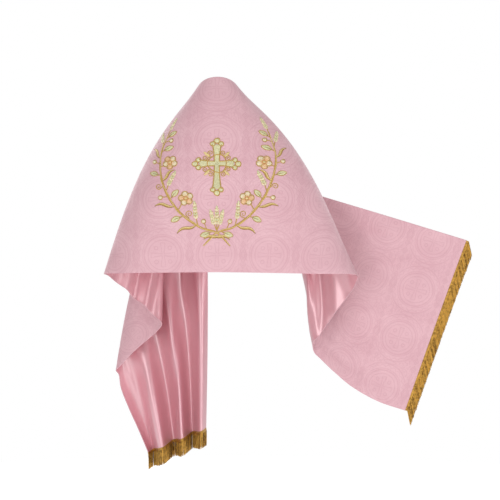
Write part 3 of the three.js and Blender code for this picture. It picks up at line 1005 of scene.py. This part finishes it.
def fringe_heading(line, on, out, width):
    """Points of a closed strip past the end, with low round ribs over its width, as rings across
    it, and their UV places."""
    share = np.linspace(0, 1, RIB_POINTS)
    top = HEADING_HALF + RIB_HEIGHT * np.abs(np.sin(share * RIBS * math.pi))
    reach = HEADING_GAP + share * width
    reach = np.concatenate([reach, reach[::-1]])[:, None]
    lift = np.concatenate([top, -top[::-1]])[:, None] + FRINGE_MIDDLE
    around = np.arange(len(reach)) / len(reach) * HEADING_TWISTS
    places = np.stack(np.broadcast_arrays(around, lengths(line)[:, None]), -1)
    return line[:, None] + on[:, None] * reach + out[:, None] * lift, places.reshape(-1, 2)


def fringe_cords(line, on, out, look, left):
    """Points of the cords in two staggered rows, as rings round lines that leave the heading and
    hang down, each with a bow of half a sine, and their UV places and shades: a random tone for
    each cord, with the row behind painted darker as painted shade."""
    random = np.random.default_rng(4 if left else 9)
    count = look.cords
    run = lengths(line)
    share = (np.arange(count) + 0.5) / count * run[-1]
    line, on, out = (
        np.stack([np.interp(share, run, part[:, k]) for k in range(3)], 1) for part in (line, on, out)
    )
    odd = np.arange(count) % 2
    row = np.where(odd, ROW_OFFSET, -ROW_OFFSET)[:, None]
    root = line + on * (look.heading - ROOT_DEPTH) + out * (FRINGE_MIDDLE + row)
    flare = look.flare_left if left else look.flare_right
    lean = on * (flare + random.uniform(-CORD_LEAN, CORD_LEAN, (count, 1))) + (0.0, 0.0, -1.0)
    lean = unit(lean + out * random.uniform(-CORD_LEAN, CORD_LEAN, (count, 1)))
    length = look.drop * (1 + random.uniform(*CORD_UNEVEN, (count, 1, 1)))
    f = np.linspace(0, 1, len(CORD_RADII))[:, None]
    bow = out[:, None] * np.sin(f * math.pi) * random.uniform(-CORD_BOW, CORD_BOW, (count, 1, 1))
    middles = root[:, None] + lean[:, None] * length * f + bow
    # Spokes of a ring, from two unit ways square to the cord
    first = unit(np.cross(lean, on))[:, None]
    second = np.cross(lean, first[:, 0])[:, None]
    share = np.arange(CORD_SIDES) / CORD_SIDES
    turn = share[:, None] * math.tau
    spokes = first * np.cos(turn) + second * np.sin(turn)
    radius = look.cord / 2 * np.array(CORD_RADII)[:, None, None]
    points = middles[:, :, None] + spokes[:, None] * radius
    places = np.stack(np.broadcast_arrays(share, f * look.drop), -1)
    places = np.tile(places.reshape(-1, 2), (count, 1))
    # Shades: a random tone for each cord, and the row on the face side 0.2 lighter, so the row behind is
    # painted darker as painted shade
    return points, places, random.uniform(-0.5, 0.5, count) + 0.2 * odd


def fringe_parts(drape, look, left):
    """Points, faces, UV places and shades of one end's fringe: the heading and the cords."""
    end = end_line(drape, left)
    heading, heading_places = fringe_heading(*end, look.heading)
    cords, cord_places, shades = fringe_cords(*end, look, left)
    strip = np.arange(heading.size // 3).reshape(heading.shape[:-1])
    tubes = strip.size + np.arange(cords.size // 3).reshape(cords.shape[:-1])
    faces = tube_faces(strip)
    if left:
        faces = [face[::-1] for face in faces]
    faces += tube_faces(tubes)
    points = np.concatenate([heading.reshape(-1, 3), cords.reshape(-1, 3)])
    places = np.concatenate([heading_places, cord_places])
    shades = np.concatenate([np.full(strip.size, HEADING_SHADE), np.repeat(shades, tubes[0].size)])
    return points, faces, places, shades


def colour(name, description, value):
    """Colour property in linear light."""
    return FloatVectorProperty(
        name=name, description=description, subtype="COLOR", size=3, default=value, min=0, max=1
    )


def distance(name, description, value):
    """Length property in metres."""
    return FloatProperty(name=name, description=description, default=value, unit="LENGTH", min=0)


class VeilClothSettings(bpy.types.PropertyGroup):
    """Cut and thickness of the veil's two cloths"""

    length: distance("Length", "Length the cloth was cut to", 2.3)
    width: distance("Width", "Width the cloth was cut to", 0.56)
    face_outer: distance("Face height", "Outer side of the face over the middle surface", 1.3 * MM)
    face_inner: distance("Face underside", "Inner side of the face over the middle surface", 0.25 * MM)
    lining_outer: distance("Lining height", "Outer side of the lining under the surface", 0.85 * MM)
    lining_inner: distance("Lining underside", "Inner side of the lining under the surface", 0.2 * MM)
    lip: distance("Turned edge", "How far under the middle surface the face's edge turns", 1.0 * MM)
    inset: distance("Edge inset", "How far in the face's edge turns under the lining", 0.8 * MM)
    rows: IntProperty(name="Rows", description="Mesh rows along the veil", default=440, min=100)
    columns: IntProperty(name="Columns", description="Mesh columns across it", default=96, min=20)


class VeilLookSettings(bpy.types.PropertyGroup):
    """Colours of the cloths and scale of the damask's figure"""

    light: colour("Damask light", "Lit tone of the damask", (0.765, 0.485, 0.527))
    dark: colour("Damask dark", "Deep tone of the damask", (0.642, 0.365, 0.413))
    satin_light: colour("Satin light", "Lit tone of the lining", (0.80, 0.370, 0.425))
    satin_dark: colour("Satin dark", "Deep tone of the lining", (0.60, 0.210, 0.262))
    pitch_along: distance("Pitch along", "Distance between medallions along the veil", 0.151)
    pitch_across: distance("Pitch across", "Distance between medallions across it", 0.160)


class VeilFringeSettings(bpy.types.PropertyGroup):
    """Sizes and colours of the bullion fringe"""

    cords: IntProperty(name="Cords", description="Cords on each end", default=280, min=20)
    drop: distance("Drop", "Length of a cord", 0.046)
    cord: distance("Cord", "Thickness of a cord", 2.4 * MM)
    heading: distance("Heading", "Width of the woven heading", 9.0 * MM)
    flare_left: FloatProperty(name="Left flare", description="Lean of the left cords", default=0.05)
    flare_right: FloatProperty(name="Right flare", description="Lean of the right cords", default=0.24)
    # The twist's grooves take the dark gold as painted shade
    gold_light: colour("Gold light", "Ridge of the twist", (0.72, 0.41, 0.075))
    gold_dark: colour("Gold dark", "Groove of the twist", (0.13, 0.055, 0.007))


class VeilStageSettings(bpy.types.PropertyGroup):
    """Camera, lights and floor"""

    camera: FloatVectorProperty(
        name="Camera", description="Place of the camera", default=(0.094, -4.3, -0.470), subtype="XYZ"
    )
    field: FloatProperty(
        name="Field of view", description="Angle of the picture", default=0.33859, subtype="ANGLE"
    )
    floor: FloatProperty(name="Floor", description="Height of the floor", default=-1.5, unit="LENGTH")
    ambient: FloatProperty(name="Ambient", description="Light from all round", default=0.47, min=0)


class DamaskFaceOperator(bpy.types.Operator):
    """Drape the damask face over all of the veil's face solids"""

    bl_idname = "humeral_veil.damask_face"
    bl_label = "Damask Face"

    def execute(self, context):
        sizes = context.scene.veil_cloth
        drape = Drape(sizes.length, sizes.width)
        material = damask_material(context.scene.veil_look)
        heights = (sizes.face_outer, sizes.face_inner, sizes.inset, -sizes.lip)
        face = cloth_shell("damask_face", drape, sizes, *heights, material)
        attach(face, "root")
        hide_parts(*(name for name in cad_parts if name.startswith("face_")))
        return {"FINISHED"}


class SatinLiningOperator(bpy.types.Operator):
    """Drape the satin lining under the face, over all of the lining solids"""

    bl_idname = "humeral_veil.satin_lining"
    bl_label = "Satin Lining"

    def execute(self, context):
        sizes = context.scene.veil_cloth
        drape = Drape(sizes.length, sizes.width)
        material = satin_material(context.scene.veil_look)
        heights = (-sizes.lining_outer, -sizes.lining_inner, 0.0, None)
        lining = cloth_shell("satin_lining", drape, sizes, *heights, material)
        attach(lining, "root")
        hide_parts(*(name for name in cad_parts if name.startswith("lining_")))
        return {"FINISHED"}


class FringesOperator(bpy.types.Operator):
    """Hang a bullion fringe from each end of the veil"""

    bl_idname = "humeral_veil.fringes"
    bl_label = "Bullion Fringes"

    def execute(self, context):
        sizes, look = context.scene.veil_cloth, context.scene.veil_fringe
        drape = Drape(sizes.length, sizes.width)
        material = bullion_material(look)
        for side in ("left", "right"):
            points, faces, places, shades = fringe_parts(drape, look, side == "left")
            # The shade attribute holds each cord's random tone and the painted shade on the row behind
            layers, attributes = {"cord": places}, {"shade": ("FLOAT", shades)}
            fringe = make_piece(f"bullion_{side}", points, faces, material, layers, attributes)
            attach(fringe, "root")
            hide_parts(f"fringe_{side}")
        return {"FINISHED"}


def embroider(context, name, sew):
    """Sews one piece of the embroidery and lays it on the damask."""
    sizes = context.scene.veil_cloth
    work = Stitching(17)
    sew(work)
    material = bpy.data.materials.get("gold_embroidery") or thread_material()
    piece = work.lay(name, Drape(sizes.length, sizes.width), sizes.face_outer, material)
    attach(piece, "root")


class BranchesOperator(bpy.types.Operator):
    """Embroider the wreath's stems, leaves, ears, berries and tendrils on the back"""

    bl_idname = "humeral_veil.branches"
    bl_label = "Embroidered Branches"

    def execute(self, context):
        embroider(context, "embroidered_branches", sew_greenery)
        return {"FINISHED"}


class BlossomsOperator(bpy.types.Operator):
    """Embroider the wreath's blossoms on the back"""

    bl_idname = "humeral_veil.blossoms"
    bl_label = "Embroidered Blossoms"

    def execute(self, context):
        embroider(context, "embroidered_blossoms", sew_blossoms)
        return {"FINISHED"}


class CrossOperator(bpy.types.Operator):
    """Embroider the ornamental cross in the middle of the wreath"""

    bl_idname = "humeral_veil.cross"
    bl_label = "Embroidered Cross"

    def execute(self, context):
        embroider(context, "embroidered_cross", sew_cross)
        return {"FINISHED"}


FLOOR_RADIUS = 3.0
FLOOR_SIDES = 96
WHITE = (1, 1, 1, 1)

# Studio lights: place, point aimed at, side of the square panel and power in watts
LIGHTS = (
    ("key", (-1.6, -3.9, 0.5), (0.05, 0.0, -0.45), 1.8, 30),
    ("top", (0.2, -2.9, 2.3), (0.05, 0.0, -0.3), 1.6, 25),
    ("low", (-1.0, -4.1, -1.2), (-0.1, 0.0, -0.6), 0.8, 20),
    ("fill", (2.8, -3.0, -0.5), (0.0, 0.0, -0.6), 1.4, 9),
    ("side", (2.5, -1.5, -0.75), (-0.25, 0.05, -0.62), 0.7, 9),
    ("front_left", (-2.4, 3.4, 1.0), (0.0, 0.1, -0.5), 1.8, 40),
    ("front_right", (2.8, 3.0, 0.6), (0.1, 0.1, -0.5), 2.0, 30),
)


class StageOperator(bpy.types.Operator):
    """Set up the pale floor, the studio lights and the camera"""

    bl_idname = "humeral_veil.stage"
    bl_label = "Stage"

    def execute(self, context):
        scene = context.scene
        look = scene.veil_stage
        scene.view_settings.view_transform = "Standard"
        for name, place, aim, size, power in LIGHTS:
            data = bpy.data.lights.new(name, "AREA")
            data.size, data.energy = size, power
            self.put(scene, name, data, place, aim)
        camera = bpy.data.cameras.new("camera")
        camera.angle = look.field
        aim = (look.camera[0], 0, look.camera[2])
        scene.camera = self.put(scene, "camera", camera, look.camera, aim)
        self.light_world(scene, look.ambient)
        floor_material = Nodes(bpy.data.materials.new("floor")).finish(
            Base_Color=(0.9, 0.9, 0.9, 1),
            Roughness=0.9,
            Emission_Color=WHITE,
            Emission_Strength=0.42,
        )
        ring = FLOOR_RADIUS * direction(np.arange(FLOOR_SIDES) * math.tau / FLOOR_SIDES)
        ring = np.column_stack([ring, np.full(FLOOR_SIDES, look.floor)])
        floor = make_piece("floor", ring, [list(range(FLOOR_SIDES))], floor_material)
        return {"FINISHED"}

    @staticmethod
    def put(scene, name, data, place, aim):
        """Links a light or camera at a place, looking at a point."""
        thing = bpy.data.objects.new(name, data)
        scene.collection.objects.link(thing)
        thing.location = place
        way = np.array(aim, float) - np.array(place, float)
        thing.rotation_euler = (
            math.atan2(math.hypot(way[0], way[1]), -way[2]),
            0,
            math.atan2(-way[0], way[1]),
        )
        return thing

    @staticmethod
    def light_world(scene, ambient):
        """Even light from all round, and a white background behind the object."""
        nodes = Nodes(bpy.data.worlds.new("studio"))
        light = nodes.add("ShaderNodeBackground", None, {"Color": WHITE, "Strength": ambient})
        seen = nodes.add("ShaderNodeBackground", None, {"Color": WHITE})
        by_camera = nodes.add("ShaderNodeLightPath")
        mixed = nodes.add("ShaderNodeMixShader", None, {0: by_camera, 1: light, 2: seen})
        nodes.add("ShaderNodeOutputWorld", None, {0: mixed})
        scene.world = nodes.owner


OPERATORS = (
    FringesOperator,
    BranchesOperator,
    BlossomsOperator,
    CrossOperator,
    DamaskFaceOperator,
    SatinLiningOperator,
    StageOperator,
)


SETTINGS = {
    "veil_cloth": VeilClothSettings,
    "veil_look": VeilLookSettings,
    "veil_fringe": VeilFringeSettings,
    "veil_stage": VeilStageSettings,
}


class VeilPanel(bpy.types.Panel):
    """Lists the veil's pieces and their settings"""

    bl_idname = "VIEW3D_PT_humeral_veil"
    bl_label = "Humeral Veil"
    bl_space_type = "VIEW_3D"
    bl_region_type = "UI"
    bl_category = "Veil"

    def draw(self, context):
        for operator in OPERATORS:
            self.layout.operator(operator.bl_idname)
        for key in SETTINGS:
            box = self.layout.box()
            group = getattr(context.scene, key)
            for name in group.bl_rna.properties.keys():
                if name not in ("rna_type", "name"):
                    box.prop(group, name)


CLASSES = (*SETTINGS.values(), *OPERATORS, VeilPanel)


def register():
    """Registers the classes and hangs the settings on the scene."""
    for cls in CLASSES:
        bpy.utils.register_class(cls)
    for key, cls in SETTINGS.items():
        setattr(bpy.types.Scene, key, PointerProperty(type=cls))


def unregister():
    """Takes the settings off the scene and unregisters the classes."""
    for key in SETTINGS:
        delattr(bpy.types.Scene, key)
    for cls in reversed(CLASSES):
        bpy.utils.unregister_class(cls)


def main():
    """Builds every piece and the stage."""
    register()
    for operator in OPERATORS:
        group, name = operator.bl_idname.split(".")
        getattr(getattr(bpy.ops, group), name)()


if __name__ == "__main__":
    main()
